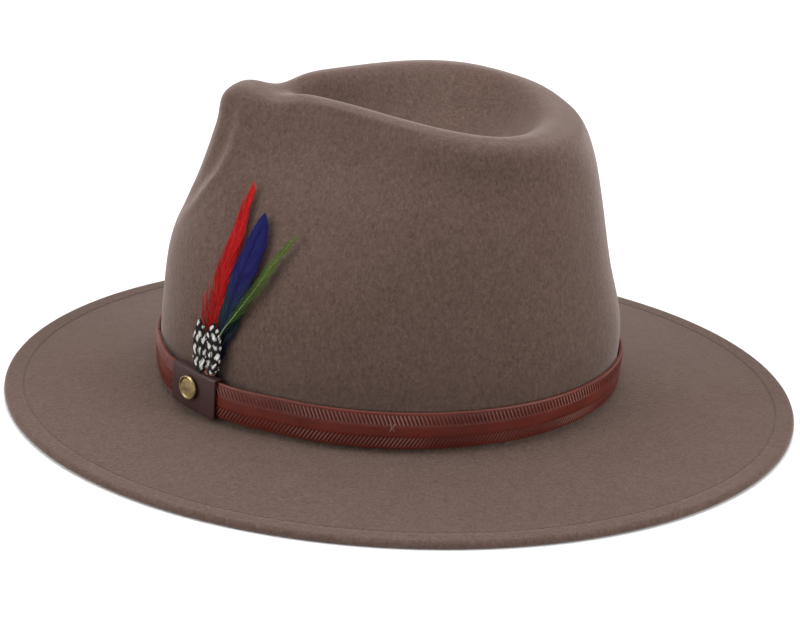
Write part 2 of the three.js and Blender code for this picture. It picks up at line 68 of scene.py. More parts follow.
def make_camera():
    """The wearer's left side, from a little above, with the camera rolled slightly."""
    back = Vector((cos(CAMERA_ELEVATION), 0, sin(CAMERA_ELEVATION)))
    level = Vector((0, 1, 0))
    right = level * cos(CAMERA_ROLL) + back.cross(level) * sin(CAMERA_ROLL)
    data = bpy.data.cameras.new("camera")
    data.lens = CAMERA_LENS
    data.sensor_width = SENSOR_WIDTH
    data.clip_start = NEAREST_SEEN
    camera = add_object("camera", data)
    turn = Matrix((right, back.cross(right), back)).transposed().to_4x4()
    camera.matrix_world = Matrix.Translation(CAMERA_TARGET + back * CAMERA_DISTANCE) @ turn
    bpy.context.scene.camera = camera


make_camera()

# ---- The crown's surface, the same stack of ovals as the CAD solids ----
# height, half width, front, back, centre, taper, pinch
CROWN = np.array([
    [12.5, 86.4, 109.2, 96.5, -6, 0, 0],
    [42, 85.5, 108.5, 97.4, -5, 0.02, 0],
    [72, 82, 105, 91, -1, 0.1, 0.03],
    [102, 75, 92.9, 85.5, 8, 0.28, 0.12],
    [124, 66, 86, 80.7, 16.9, 0.54, 0.25],
    [138, 63.4, 82.7, 75.2, 25, 0.97, 0.2],
    [142, 57, 69.2, 69, 24.5, 1, 0.04],
    [140.6, 46, 54, 56.5, 26, 0.93, 0.04],
    [126.5, 28, 40, 43, 30, 0.8, 0],
    [117, 9, 14, 30, 24, 0.4, 0],
])
TOP_OF_WALL = 4
DENT_LEVEL = len(CROWN) - 1
CREST_SLOPE, CREST_BOW, CREST_HEIGHT = 0.068, 0.00086, 145
# Local rises of the crest (place, reach, rise): the nose's tip and the notch behind it.
CREST_SWELLS = ((-75, 7, 1.2), (-60, 9, -3.9))
NOSE_BLUNTNESS = 0.5
SIDE_DROOP, DROOP_FADES_AT = 3, 60
DENT_POLE = 115

BRIM_HALF_LENGTH, BRIM_HALF_WIDTH = 179, 157.5
FELT = 2
WELT_WIDTH = 9.6
EDGE_THICKNESS = 3.6
BRIM_AT_WALL = 12.2
BRIM_RISE_POWER = 1.1
STITCH_INSET = 8.6

BAND_BOTTOM, BAND_HEIGHT, BAND_THICKNESS = 14.2, 15.4, 1.8
BAND_TOP = BAND_BOTTOM + BAND_HEIGHT
BAND_MIDDLE = BAND_BOTTOM + BAND_HEIGHT / 2
BAND_STAND_OFF = 0.4
KEEPER_ANGLE = radians(-50.6)
KEEPER_LENGTH = 27
KEEPER_BACK = 1.3
BAND_AT_KEEPER = 2.8
KEEPER_FRONT = BAND_AT_KEEPER + BAND_THICKNESS + GAP
BADGE_ARC, BADGE_HEIGHT, BADGE_RADIUS = -1.2, 23.1, 5.4
BULGE_FULL, BULGE_END = 17, 45



def ease(x, low, high):
    """From 0 at low to 1 at high, smoothly."""
    t = np.clip((x - low) / (high - low), 0, 1)
    return t * t * (3 - 2 * t)


def swells(x, bumps):
    """Smooth bumps added up, each given as (place, reach, rise)."""
    return sum(rise * np.exp(-((x - at) / reach) ** 2) for at, reach, rise in bumps)


def unit(vectors):
    return vectors / np.linalg.norm(vectors, axis=-1, keepdims=True)


def round_turn(count):
    return np.linspace(0, tau, count, endpoint=False)


def together(*values):
    return np.broadcast_arrays(*(np.asarray(value, float) for value in values))


def curve_at(points, place):
    """Catmull-Rom curve through rows of numbers. place counts along them from the first."""
    points, place = np.asarray(points, float), np.asarray(place, float)
    padded = np.concatenate([[2 * points[0] - points[1]], points, [2 * points[-1] - points[-2]]])
    index = np.minimum(np.floor(place).astype(int), len(points) - 2)
    t = (place - index)[..., None]
    before, here, after, beyond = (padded[index + step] for step in range(4))
    pull = 2 * before - 5 * here + 4 * after - beyond
    bend = -before + 3 * here - 3 * after + beyond
    return 0.5 * (2 * here + (after - before) * t + pull * t ** 2 + bend * t ** 3)


def side_droop(angle):
    return SIDE_DROOP * np.cos(angle) ** 2


def crest_dip(y):
    return CREST_SLOPE * y + CREST_BOW * y ** 2 - swells(y, CREST_SWELLS)


def crown(angle, level):
    """Points of the felt's outer skin, in millimetres."""
    angle, level = together(angle, level)
    height, half_width, front, back, centre, taper, pinch = np.moveaxis(curve_at(CROWN, level), -1, 0)
    s, c = np.sin(angle), np.cos(angle)
    ahead = s < 0
    y = centre + s * np.where(ahead, front + centre, back - centre)
    tapering = 1 - taper * (s ** 2 - NOSE_BLUNTNESS * s ** 4)
    narrowing = np.where(ahead, tapering * (1 - pinch * (2 * s * c) ** 2), 1)
    dip = (height / CREST_HEIGHT) ** 3 * crest_dip(y)
    droop = side_droop(angle) * (1 - ease(height, 0, DROOP_FADES_AT))
    return np.stack([half_width * c * narrowing, y, height - dip - droop], -1)


def crown_normal(angle, level):
    step = 1e-3
    round_it = crown(angle + step, level) - crown(angle - step, level)
    low, high = np.maximum(level - step, 0), np.minimum(level + step, DENT_LEVEL)
    return unit(np.cross(round_it, crown(angle, high) - crown(angle, low)))


def skin(angle, level, offset):
    return crown(angle, level) + crown_normal(angle, level) * np.asarray(offset, float)[..., None]


WALL_LEVELS = np.linspace(0, TOP_OF_WALL, 801)
WALL_HEIGHTS = curve_at(CROWN, WALL_LEVELS)[:, 0]


def wall(angle, height, offset):
    """Points beside the wall at a height, which may lie below the wall's foot."""
    angle, height, offset = together(angle, height, offset)
    foot = CROWN[0, 0]
    points = skin(angle, np.interp(np.maximum(height, foot), WALL_HEIGHTS, WALL_LEVELS), offset)
    points[..., 2] += np.minimum(height - foot, 0)
    return points


ARC_ANGLES = KEEPER_ANGLE + np.linspace(0, tau, 2881)
ARC_STEPS = np.diff(wall(ARC_ANGLES, BAND_MIDDLE, 0), axis=0)
ARC_LENGTHS = np.concatenate([[0], np.cumsum(np.linalg.norm(ARC_STEPS, axis=1))])
GIRTH = ARC_LENGTHS[-1]


def angle_at(arc):
    """The angle that lies arc millimetres along the wall from the keeper's middle, anticlockwise from above."""
    return np.interp(np.mod(arc, GIRTH), ARC_LENGTHS, ARC_ANGLES)


def arc_at(angle):
    return float(np.interp(KEEPER_ANGLE + (angle - KEEPER_ANGLE) % tau, ARC_ANGLES, ARC_LENGTHS))


def band_stand_off(arc):
    wrapped = np.mod(arc, GIRTH)
    away = np.minimum(wrapped, GIRTH - wrapped)
    near = 1 - ease(away, BULGE_FULL, BULGE_END)
    return BAND_STAND_OFF + (BAND_AT_KEEPER - BAND_STAND_OFF) * near


def wrap(flat, stand_off=0.0):
    """Bends points drawn flat (along the band, height, outwards) onto the wall."""
    return wall(angle_at(flat[..., 0]), flat[..., 1], flat[..., 2] + stand_off)


def brim_ends(angle):
    """Where the brim's edge and the wall's foot lie in plan, and the brim's width between them."""
    edge = np.stack([BRIM_HALF_WIDTH * np.cos(angle), BRIM_HALF_LENGTH * np.sin(angle), np.zeros_like(angle)], -1)
    foot = crown(angle, 0)
    foot[..., 2] = 0
    return edge, foot, np.linalg.norm(edge - foot, axis=-1)


def brim(angle, inset, z):
    """A point of the brim at a distance in from its edge, or out from the wall where inset is negative."""
    angle, inset, z = together(angle, inset, z)
    edge, foot, width = brim_ends(angle)
    from_edge = np.where(inset >= 0, inset, width + inset)
    point = edge + (foot - edge) * (from_edge / width)[..., None]
    rise = np.maximum(from_edge - WELT_WIDTH, 0) / (width - WELT_WIDTH)
    point[..., 2] = z + (BRIM_AT_WALL - EDGE_THICKNESS - side_droop(angle)) * rise ** BRIM_RISE_POWER
    return point


# ---- Mesh helpers ----
def smooth_object(name, mesh, built):
    """An object whose mesh is filled from a bmesh."""
    built.to_mesh(mesh)
    built.free()
    mesh.polygons.foreach_set("use_smooth", [True] * len(mesh.polygons))
    return add_object(name, mesh)


def new_object(name, vertices, faces):
    """A mesh object from millimetre vertices, with its faces turned outwards."""
    mesh = bpy.data.meshes.new(name)
    mesh.from_pydata((np.asarray(vertices) * MM).tolist(), [], faces)
    built = bmesh.new()
    built.from_mesh(mesh)
    bmesh.ops.recalc_face_normals(built, faces=built.faces)
    return smooth_object(name, mesh, built)


def grid_faces(rows, columns, round_rows=False, start=0):
    """Quads of a grid of vertices numbered row by row. Each row closes on itself."""
    faces = []
    for r in range(rows if round_rows else rows - 1):
        here, there = start + r * columns, start + ((r + 1) % rows) * columns
        for c in range(columns):
            d = (c + 1) % columns
            faces.append((here + c, here + d, there + d, there + c))
    return faces


def skin_between_poles(name, rows, first_pole, last_pole):
    """A closed skin of rings that ends in a point at both ends."""
    count, columns = rows.shape[:2]
    vertices = np.concatenate([rows.reshape(-1, 3), [first_pole, last_pole]])
    faces = grid_faces(count, columns)
    first, last, top = count * columns, count * columns + 1, (count - 1) * columns
    for c in range(columns):
        d = (c + 1) % columns
        faces += [(first, d, c), (last, top + c, top + d)]
    return new_object(name, vertices, faces)



def hoop(name, rings):
    """A closed ring-shaped solid from sections (rows) that run round it (columns)."""
    return new_object(name, np.reshape(rings, (-1, 3)), grid_faces(*np.shape(rings)[:2], round_rows=True))


def bars(name, blocks, to_wall=None):
    """Solids with flat ends, joined in one object. Each is closed sections (columns), one after another (rows)."""
    faces, start = [], 0
    for block in blocks:
        rows, columns = block.shape[:2]
        last_row = start + (rows - 1) * columns
        faces += grid_faces(rows, columns, start=start)
        faces += [tuple(range(start, start + columns)), tuple(reversed(range(last_row, last_row + columns)))]
        start = last_row + columns
    points = np.concatenate([block.reshape(-1, 3) for block in blocks])
    return new_object(name, to_wall(points) if to_wall else points, faces)


def tubes(name, paths, radius, sides=6, to_wall=None):
    """Closed tubes along several paths, joined in one object. radius is one number, or one for each point."""
    turn = round_turn(sides)[None, :, None]
    blocks = []
    for path in paths:
        along = unit(np.gradient(path, axis=0))
        helper = np.where(np.abs(along[:, 2:]) < 0.9, [[0, 0, 1.0]], [[1.0, 0, 0]])
        side = unit(np.cross(along, helper))
        up = np.cross(side, along)
        ring = side[:, None] * np.cos(turn) + up[:, None] * np.sin(turn)
        blocks.append(path[:, None] + ring * np.broadcast_to(radius, len(path))[:, None, None])
    return bars(name, blocks, to_wall)


def set_attribute(piece, name, values, kind="FLOAT", field="value"):
    """A number or colour for each vertex, for the material to read."""
    attribute = piece.data.attributes.new(name, kind, "POINT")
    attribute.data.foreach_set(field, np.asarray(values, np.float32).ravel())


def set_tint(piece, colours):
    set_attribute(piece, "tint", np.insert(colours, 3, 1, axis=1), "FLOAT_COLOR", "color")


# ---- Materials ----
# The Mix node's sockets for colours, by number, because several share a name.
MIX_FACTOR, MIX_FIRST, MIX_SECOND, MIX_RESULT = 0, 6, 7, 2


class Surface:
    """A Principled material with short calls for the nodes that these materials share."""

    def __init__(self, name, roughness, metallic=0.0, **extra):
        self.slot = name
        self.material = bpy.data.materials.new(name)
        self.material.use_nodes = True
        self.tree = self.material.node_tree
        self.shader = self.tree.nodes["Principled BSDF"]
        for key, value in {"Roughness": roughness, "Metallic": metallic, **extra}.items():
            self.shader.inputs[key.replace("_", " ")].default_value = value
        self.place = self.node("ShaderNodeTexCoord").outputs["Object"]

    def node(self, kind, inputs=None, **settings):
        """A new node. Each input is an output to link, or a colour or number to set."""
        made = self.tree.nodes.new(kind)
        for key, value in settings.items():
            setattr(made, key, value)
        for key, value in (inputs or {}).items():
            socket = made.inputs[key]
            if isinstance(value, bpy.types.NodeSocket):
                self.tree.links.new(value, socket)
            else:
                socket.default_value = (*value, 1) if socket.type == "RGBA" else value
        return made

    def noise(self, scale, detail=4.0, roughness=0.55, distortion=0.0, stretch=None):
        vector = self.place
        if stretch:
            vector = self.node("ShaderNodeMapping", {"Scale": stretch, "Vector": vector}).outputs["Vector"]
        return self.node("ShaderNodeTexNoise", {
            "Vector": vector, "Scale": scale, "Detail": detail, "Roughness": roughness,
            "Distortion": distortion}).outputs["Fac"]

    def attribute(self, name, output="Fac"):
        return self.node("ShaderNodeAttribute", attribute_name=name).outputs[output]

    def ramp(self, factor, *stops):
        made = self.node("ShaderNodeValToRGB", {"Fac": factor})
        while len(made.color_ramp.elements) < len(stops):
            made.color_ramp.elements.new(0.5)
        for element, (position, value) in zip(made.color_ramp.elements, stops):
            element.position = position
            element.color = (*value, 1) if isinstance(value, tuple) else (value, value, value, 1)
        return made.outputs["Color"]

    def mix(self, factor, first, second, blend="MIX"):
        inputs = {MIX_FACTOR: factor, MIX_FIRST: first, MIX_SECOND: second}
        return self.node("ShaderNodeMix", inputs, data_type="RGBA", blend_type=blend).outputs[MIX_RESULT]

    def bump(self, height, strength, distance, before=None):
        inputs = {"Height": height, "Strength": strength, "Distance": distance}
        if before is not None:
            inputs["Normal"] = before
        return self.node("ShaderNodeBump", inputs).outputs["Normal"]

    def finish(self, colour, normal=None, roughness=None):
        for key, output in (("Base Color", colour), ("Normal", normal), ("Roughness", roughness)):
            if output is not None:
                self.tree.links.new(output, self.shader.inputs[key])
        return self


def felt_material():
    felt = Surface("felt", 0.95, Sheen_Weight=0.75, Sheen_Roughness=0.32, Sheen_Tint=(0.74, 0.625, 0.6, 1),
                   Specular_IOR_Level=0.1)
    mottle = felt.noise(34, 5, 0.6, 0.8)
    clump = felt.noise(260, 4, 0.65, 1.6, (1, 1, 0.75))
    fibre = felt.noise(800, 6, 0.75, 1.0, (1, 1, 0.6))
    speck = felt.noise(1300, 3, 0.6)
    broad = felt.ramp(mottle, (0.32, (0.084, 0.051, 0.04)), (0.68, (0.105, 0.0725, 0.059)))
    middling = felt.ramp(clump, (0.36, (0.067, 0.0405, 0.0315)), (0.64, (0.123, 0.083, 0.068)))
    fine = felt.ramp(fibre, 
        (0.32, (0.0465, 0.029, 0.023)), (0.5, (0.094, 0.06, 0.049)), (0.68, (0.166, 0.115, 0.095)))
    colour = felt.mix(0.55, felt.mix(0.55, broad, middling), fine)
    colour = felt.mix(felt.ramp(speck, (0.64, 0.0), (0.74, 0.6)), colour, (0.225, 0.163, 0.138))
    soft = felt.bump(clump, 0.2, 0.0008, felt.bump(mottle, 0.15, 0.0015))
    normal = felt.bump(fibre, 0.45, 0.0004, soft)
    return felt.finish(colour, normal)



def leather_material(name, dark, light, roughness, grain, grain_strength, edge=None, coat=0.0, ridge_highlight_colour=None):
    """Grained leather. With an edge colour it also reads the band's groove, ridge and edge attributes, to paint
    shade into the grooves, a highlight along the ridges and a trim colour on the edges.
    """
    leather = Surface(name, roughness, Specular_IOR_Level=0.3, Coat_Weight=coat, Coat_Roughness=0.22)
    cloud = leather.noise(55, 5, 0.6, 0.4)
    colour = leather.ramp(cloud, (0.3, dark), (0.7, light))
    if edge:
        # Painted shade: the grooves are darkened towards a near black version of the leather's dark colour.
        groove_shade = leather.ramp(leather.attribute("groove"), (0.1, 0.0), (0.8, 0.8))
        shaded = leather.mix(groove_shade, colour, tuple(0.3 * v for v in dark))
        # A pale highlight is painted along the ridges between the pressed rows' grooves.
        ridge_highlight = leather.ramp(leather.attribute("ridge_highlight"), (0.55, 0.0), (0.95, 0.75))
        shaded = leather.mix(ridge_highlight, shaded, ridge_highlight_colour)
        trim = leather.ramp(leather.noise(210, 4, 0.6), (0.3, tuple(0.7 * v for v in edge)), (0.7, edge))
        colour = leather.mix(leather.attribute("edge"), shaded, trim)
    cells = leather.node("ShaderNodeTexVoronoi", {"Scale": grain, "Vector": leather.place}).outputs["Distance"]
    wrinkles = leather.bump(leather.noise(grain * 0.4, 4, 0.6), grain_strength * 0.6, 0.0003)
    normal = leather.bump(cells, grain_strength, 0.00018, wrinkles)
    worn = leather.ramp(leather.noise(140, 5, 0.65), (0.3, max(roughness - 0.1, 0.1)), (0.75, roughness + 0.14))
    return leather.finish(colour, normal, worn)


def thread_material(name, dark, light):
    thread = Surface(name, 0.75, Sheen_Weight=0.2)
    twist = thread.noise(1900, 2, 0.5, 0.4)
    return thread.finish(thread.ramp(twist, (0.35, dark), (0.65, light)), thread.bump(twist, 0.6, 0.0002))


def brass_material():
    brass = Surface("antique_brass", 0.4, 1.0)
    stain = brass.noise(700, 5, 0.65, 0.5)
    tone = brass.ramp(stain, (0.3, (0.38, 0.28, 0.12)), (0.7, (0.6, 0.49, 0.27)))
    hollow = brass.ramp(brass.attribute("hollow"), (0.1, 0.0), (0.9, 0.7))
    colour = brass.mix(hollow, tone, (0.16, 0.11, 0.045))
    scratch = brass.noise(2600, 4, 0.7, 0.2, (1, 1, 0.15))
    rough = brass.ramp(stain, (0.3, 0.26), (0.75, 0.46))
    return brass.finish(colour, brass.bump(scratch, 0.18, 0.0001), rough)


def cloth_material(name, dark, light, roughness, sheen, threads):
    cloth = Surface(name, roughness, Sheen_Weight=sheen, Sheen_Roughness=0.3, Specular_IOR_Level=0.5)
    shade = cloth.noise(60, 4, 0.55, 0.4)
    weave = cloth.noise(threads, 2, 0.5, 0.0, (1, 1, 0.12))
    cross = cloth.noise(threads, 2, 0.5, 0.0, (0.12, 0.12, 1))
    woven = cloth.mix(0.5, weave, cross)
    colour = cloth.mix(0.3, cloth.ramp(shade, (0.3, dark), (0.7, light)), woven, "OVERLAY")
    return cloth.finish(colour, cloth.bump(woven, 0.25, 0.0002))


def feather_material():
    vane = Surface("feather", 0.6, Specular_IOR_Level=0.12)
    barbule = vane.noise(1500, 3, 0.6, 0.3)
    shade = vane.ramp(barbule, (0.3, 0.72), (0.7, 1.0))
    colour = vane.mix(1.0, vane.attribute("tint", "Color"), shade, "MULTIPLY")
    return vane.finish(colour, vane.bump(barbule, 0.3, 0.0001))


def plastic_material():
    plastic = Surface("reed_plastic", 0.45)
    cloud = plastic.noise(300, 3)
    colour = plastic.ramp(cloud, (0.3, (0.6, 0.56, 0.48)), (0.7, (0.72, 0.69, 0.62)))
    return plastic.finish(colour, plastic.bump(cloud, 0.1, 0.0002))



FELT_LOOK = felt_material()
# The band's pale ridge colour is a painted highlight.
BAND_LOOK = leather_material(
    "band_leather", (0.078, 0.0095, 0.005), (0.13, 0.018, 0.0095), 0.34, 1300, 0.12,
    edge=(0.15, 0.038, 0.026), coat=0.12, ridge_highlight_colour=(0.36, 0.15, 0.115))
KEEPER_LOOK = leather_material("keeper_leather", (0.034, 0.014, 0.0135), (0.054, 0.024, 0.022), 0.42, 1500, 0.2)
SWEAT_LOOK = leather_material("sweatband_leather", (0.055, 0.026, 0.014), (0.09, 0.045, 0.024), 0.48, 900, 0.3)
THREAD_LOOK = thread_material("felt_thread", (0.045, 0.03, 0.024), (0.095, 0.068, 0.056))
TACK_LOOK = thread_material("band_thread", (0.1, 0.022, 0.014), (0.22, 0.07, 0.045))
BRASS_LOOK = brass_material()
TAPE_LOOK = cloth_material("tape_cloth", (0.02, 0.016, 0.014), (0.036, 0.03, 0.026), 0.8, 0.3, 1500)
RIBBON_LOOK = cloth_material("ribbon", (0.03, 0.021, 0.016), (0.055, 0.04, 0.03), 0.45, 0.4, 1300)
SATIN_LOOK = cloth_material("lining_satin", (0.15, 0.105, 0.07), (0.23, 0.17, 0.12), 0.3, 0.5, 1800)
BACKING_LOOK = cloth_material("feather_backing", (0.018, 0.013, 0.011), (0.032, 0.024, 0.02), 0.9, 0.3, 900)
FEATHER_LOOK = feather_material()
REED_LOOK = plastic_material()



def dress(piece, look, *nodes, slot=None, body="hat"):
    """Gives a piece its material and body, and hides the CAD nodes that it stands for. slot is not used."""
    piece.data.materials.clear()
    piece.data.materials.append(look.material)
    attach(piece, body)
    slot or look.slot
    if nodes:
        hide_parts(*nodes)


# ---- The felt body ----
FELT_COLUMNS = 288
GROOVE_HALF_WIDTH = 0.7
GROOVE_DEPTH = 0.22
EDGE_ROUNDING = 1.9
BREAK_FILLET, BREAK_LIFT = 4, 1.2
# The fold behind each front pinch: the level up the crown and the fold's angle from straight ahead there.
PINCH_LEVELS = (2.2, 2.44, 2.64, 2.94, 3.26, 3.62, 4.2, 4.7, 5.2)
PINCH_FOLD_DEGREES = (7, 11.5, 15.5, 19, 24, 26.5, 26.5, 26.5, 25)
PINCH_STRENGTH = (0, 0.25, 0.6, 0.9, 1, 1, 0.9, 0.6, 0)
# Across the fold (place, reach, rise): the ridge on it and the hollow in front of it.
PINCH_RELIEF = ((0, 2.4, 0.8), (-7, 4.2, -1.4))
NOSE_CURVE_RADIUS = 48
UNEVEN_LENGTHS, UNEVEN_DEPTH = (115, 78, 52, 36), 0.16
UNEVEN_UPWARD = 20
UNEVEN_FROM, UNEVEN_FULL_AT = BAND_TOP + 4, BAND_TOP + 30


def pinched(angle, level):
    """The crown's skin with the two shallow hollows that fingers leave beside the nose, and the folds behind."""
    from_nose = np.abs(np.mod(angle + 1.5 * pi, tau) - pi)
    fold = np.radians(np.interp(level, PINCH_LEVELS, PINCH_FOLD_DEGREES))
    strength = np.interp(level, PINCH_LEVELS, PINCH_STRENGTH)
    return skin(angle, level, strength * swells(NOSE_CURVE_RADIUS * (from_nose - fold), PINCH_RELIEF))


def felt_rows():
    """Rings from under the dent, down the inside, round the brim and up over the crown into the dent."""
    angles = round_turn(FELT_COLUMNS)
    under, top = EDGE_THICKNESS - FELT, EDGE_THICKNESS
    rows = [skin(angles, level, -FELT) for level in np.linspace(DENT_LEVEL, 0.05, 64)]
    # The rounded inner corner of the head opening.
    rows += [brim(angles, inset, under + lift) for inset, lift in ((-0.35, -0.25), (-1.4, -0.1), (-4, 0))]
    width = brim_ends(angles)[2]
    rows += [brim(angles, width * share, under) for share in np.linspace(0.9, 0.2, 15)]
    # The step of the welt, which is turned under.
    rows += [brim(angles, WELT_WIDTH + past, z) for past, z in (
        (1.1, under), (0.5, under - 0.15), (0.15, 0.6), (0, 0.2), (-0.3, 0.02))]
    groove = [(side * GROOVE_HALF_WIDTH, depth * GROOVE_DEPTH) for side, depth in (
        (1, 0), (0.6, 0.12), (0.3, 0.75), (0, 1), (-0.3, 0.75), (-0.6, 0.12), (-1, 0))]
    rows += [brim(angles, STITCH_INSET + shift, depth) for shift, depth in groove]
    rows += [brim(angles, inset, 0) for inset in (6, 3.6)]
    half = EDGE_THICKNESS / 2
    rows += [brim(angles, EDGE_ROUNDING * (1 - cos(lean)), half + half * sin(lean))
             for lean in np.radians(np.linspace(-90, 90, 13))]
    rows += [brim(angles, inset, top) for inset in (3.6, 6)]
    rows += [brim(angles, STITCH_INSET - shift, top - depth) for shift, depth in groove]
    rows.append(brim(angles, WELT_WIDTH + 1.5, top))
    rows += [brim(angles, width * share, top) for share in np.linspace(0.2, 0.92, 19)]
    # The fillet of the break between brim and wall.
    for lean in np.radians(np.linspace(0, 90, 7)[1:-1]):
        rows.append(brim(angles, -BREAK_FILLET * (1 - sin(lean)) - 0.01, top))
        rows[-1][..., 2] += BREAK_LIFT * (1 - cos(lean))
    levels = [*np.linspace(0.04, TOP_OF_WALL, 60), *np.linspace(TOP_OF_WALL, DENT_LEVEL, 90)[1:]]
    return np.array(rows + [pinched(angles, level) for level in levels])


def soften(rows):
    """Small unevenness, as from blocking by hand. The brim's edge and the band's seat stay true."""
    waves = np.zeros(rows.shape[:2])
    for length in UNEVEN_LENGTHS:
        direction = unit(random.normal(size=3))
        phase = random.uniform(0, tau)
        waves += np.sin(rows @ direction * tau / length + phase)
    outward = rows.copy()
    outward[..., 2] = UNEVEN_UPWARD
    free = ease(rows[..., 2], UNEVEN_FROM, UNEVEN_FULL_AT)
    return rows + unit(outward) * (UNEVEN_DEPTH * waves * free)[..., None]


pole_y = curve_at(CROWN, DENT_LEVEL)[4]
felt_body = skin_between_poles(
    "felt_body_fine", soften(felt_rows()), [0, pole_y, DENT_POLE - FELT], [0, pole_y, DENT_POLE])
dress(felt_body, FELT_LOOK, "felt_body", slot="wool_felt")

# ---- Stitches ----
STITCH_POINTS = 7
STITCH_TUCK = 0.1
# How many stitches, the share of its place that each fills, how high it arches, and the thread's radii along it.
BRIM_STITCHES = (300, 0.78, 0.3, (0.08, 0.17, 0.2, 0.2, 0.2, 0.17, 0.08))
SWEAT_STITCHES = (210, 0.72, 0.36, (0.1, 0.22, 0.26, 0.26, 0.26, 0.22, 0.1))


def stitches(name, place, count, filled, arch, radii):
    """Arched stitches that start and end a little under the surface. place gives points at (angles, lifts)."""
    along = np.linspace(-1, 1, STITCH_POINTS)
    lifts = arch * (1 - along ** 2) - STITCH_TUCK
    paths = [place((k + along / 2 * filled + 0.5) / count * tau, lifts) for k in range(count)]
    return tubes(name, paths, radii)


def brim_stitches(name, lift_sign, base, *nodes):
    def place(angles, lifts):
        return brim(angles, STITCH_INSET, base + lift_sign * lifts)
    dress(stitches(name, place, *BRIM_STITCHES), THREAD_LOOK, *nodes)


brim_stitches("brim_stitches_top", 1, EDGE_THICKNESS - GROOVE_DEPTH, "brim_stitching")
brim_stitches("brim_stitches_under", -1, GROOVE_DEPTH + 0.12)

# ---- The hatband ----
BAND_BUTT_GAP = 1.5
BAND_SWELL = 0.35
BAND_STEP = 0.26
HATCH_PITCH = 1.7
HATCH_DEPTH = 0.34
HATCH_HALF_GROOVE, HATCH_STEEPNESS = 0.36, 1.6
HATCH_ROW_FADE = 0.012
# Each pressed row: its grooves' lean, where it lies up the band's face, and how strong the highlight painted on its
# ridges is.
HATCH_ROWS = ((0.45, 0.66, 0.955, 1), (-0.65, 0.05, 0.34, 0.85))


def band_section():
    """The strap's section as (outwards, height, face share or -1, edge), anticlockwise from the back's foot."""
    face = BAND_THICKNESS - BAND_SWELL
    # The lower edge as (outwards, height over the bottom, edge). The upper edge mirrors it.
    edge = [(0, 0.5, 0.6), (0.1, 0.12, 1), (0.4, 0, 1), (face - 0.4, 0, 1), (face - 0.1, 0.1, 0.8)]
    points = [(out, BAND_BOTTOM + inward, -1, worn) for out, inward, worn in edge]
    for share in np.linspace(0, 1, 36):
        swell = BAND_SWELL * (1 - (2 * share - 1) ** 8)
        points.append((face + swell, BAND_BOTTOM + 0.3 + share * (BAND_HEIGHT - 0.6), share, 0))
    return np.array(points + [(out, BAND_TOP - inward, -1, worn) for out, inward, worn in reversed(edge)])


def hatching(arc, height, share):
    """The pressed rows, which lean against each other: how deep the grooves are, which also sets their painted
    shade, and where a highlight is painted on the ridges between them.
    """
    depth, ridge_highlight = np.zeros_like(arc), np.zeros_like(arc)
    for lean, low, high, highlight_strength in HATCH_ROWS:
        phase = np.mod((arc + lean * height) / HATCH_PITCH, 1)
        cut = np.clip(HATCH_STEEPNESS * (1 - np.abs(phase - 0.5) / HATCH_HALF_GROOVE), 0, 1)
        above = ease(share, low - HATCH_ROW_FADE, low + HATCH_ROW_FADE)
        inside = above * (1 - ease(share, high - HATCH_ROW_FADE, high + HATCH_ROW_FADE))
        depth += cut * inside
        ridge_highlight += (1 - cut) * inside * highlight_strength
    return depth, ridge_highlight


def make_hatband():
    out, height, share, edge = band_section().T
    length = GIRTH - BAND_BUTT_GAP
    arc = (BAND_BUTT_GAP / 2 + np.linspace(0, length, int(length / BAND_STEP)))[:, None]
    arc, out, height, share, edge = np.broadcast_arrays(arc, out, height, share, edge)
    worn = 0.75 + 0.25 * np.sin(arc / 23.0) * np.sin(arc / 9.1 + 1)
    depth, ridge_highlight = hatching(arc, height, share)
    depth *= worn
    # A slight waviness, as a strap has that was bent round by hand.
    sway = 0.12 * np.sin(arc / 31.0) + 0.08 * np.sin(arc / 13.0 + 2)
    flat = np.stack([arc, height, out - HATCH_DEPTH * depth + sway], -1)
    piece = bars("hatband_fine", [wrap(flat, band_stand_off(arc))])
    # From these values the band's material paints shade into the grooves and a highlight along the ridges; edge
    # marks the trim.
    for name, values in (("groove", depth), ("ridge_highlight", ridge_highlight * worn), ("edge", edge)):
        set_attribute(piece, name, values)
    dress(piece, BAND_LOOK, "hatband")


make_hatband()

# ---- The keeper ----
KEEPER_WALL = 1.1
KEEPER_OVERLAP = 1.3
# Its ends stand a little open: over how many millimetres, and how far. The free end is on the right.
KEEPER_FREE_END, KEEPER_OTHER_END = (9, 0.35), (6, 0.12)
# The badge draws the middle down.
KEEPER_DIMPLE = (BADGE_ARC, 7, -0.22)


def rounded_loop(low_out, high_out, low, high, radius, count):
    """A rounded rectangle of (outwards, height) points, anticlockwise."""
    corners = [(high_out - radius, low + radius, -90), (high_out - radius, high - radius, 0),
               (low_out + radius, high - radius, 90), (low_out + radius, low + radius, 180)]
    points = []
    for out, height, start in corners:
        for turn in np.radians(np.linspace(start, start + 90, count)):
            points.append((out + radius * cos(turn), height + radius * sin(turn)))
    return np.array(points)


